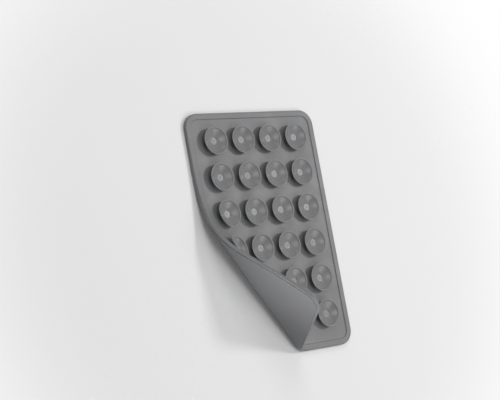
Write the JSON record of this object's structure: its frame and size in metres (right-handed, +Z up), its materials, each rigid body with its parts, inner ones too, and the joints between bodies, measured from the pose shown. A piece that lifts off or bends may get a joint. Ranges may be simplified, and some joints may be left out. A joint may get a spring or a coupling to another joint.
{
  "type": "suction cup phone holder",
  "caption": "Soft silicone pad of small suction cups with an adhesive back, one corner peeled up, for holding a phone against smooth surfaces.",
  "frame": {"origin": "centre of the pad's outline, on the adhesive face that it lies on", "axes": "+X across the columns of cups, +Y along the rows of cups towards the edge away from the peeled corner, +Z up through the cups"},
  "size_m": [0.064, 0.096, 0.0296],
  "materials": {
    "silicone": "satin moulded silicone, mid grey",
    "adhesive": "smooth grey adhesive film"
  },
  "bodies": {
    "root": {"suction_pad": "silicone", "adhesive_sheet": "adhesive"}
  },
  "joints": []
}
